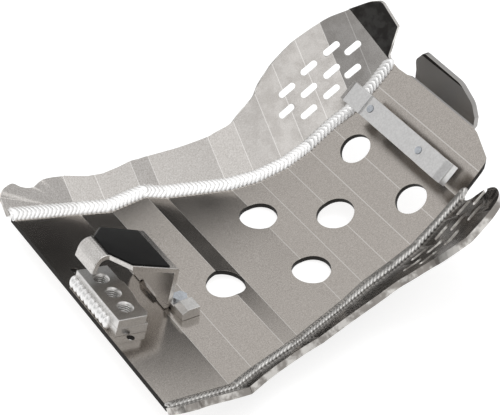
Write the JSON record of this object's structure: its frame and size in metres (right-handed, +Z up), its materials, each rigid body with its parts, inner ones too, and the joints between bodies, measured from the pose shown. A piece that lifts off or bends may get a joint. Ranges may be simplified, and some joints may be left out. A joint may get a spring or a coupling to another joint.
{
  "type": "skid plate",
  "caption": "Folded sheet-metal skid plate with welded side wings, a tapped rear block, a hooked strap with a pad and a front clamp bar.",
  "frame": {"origin": "centre of the bounding box in plan, at the ground plane on which the belly folds rest", "axes": "+X forward (towards the lip), +Y to the left side of the motorcycle, +Z up"},
  "size_m": [0.3304, 0.2808, 0.123],
  "materials": {
    "sheet": "brushed, half bright",
    "weld": "as welded, bright ripples",
    "block": "machined, satin",
    "strap": "satin",
    "pad": "matt black",
    "bar": "machined, satin",
    "zinc": "zinc plated"
  },
  "bodies": {
    "root": {"belly_pan": "sheet", "left_wing": "sheet", "right_wing": "sheet", "left_weld": "weld", "right_weld": "weld", "block_base": "block", "block_plate": "block", "block_weld": "weld", "hook_strap": "strap", "strap_pad": "pad", "foot_clamp": "block", "foot_screw": "zinc", "clamp_bar": "bar", "clamp_bolts": "zinc", "clamp_washers": "zinc"}
  },
  "joints": []
}
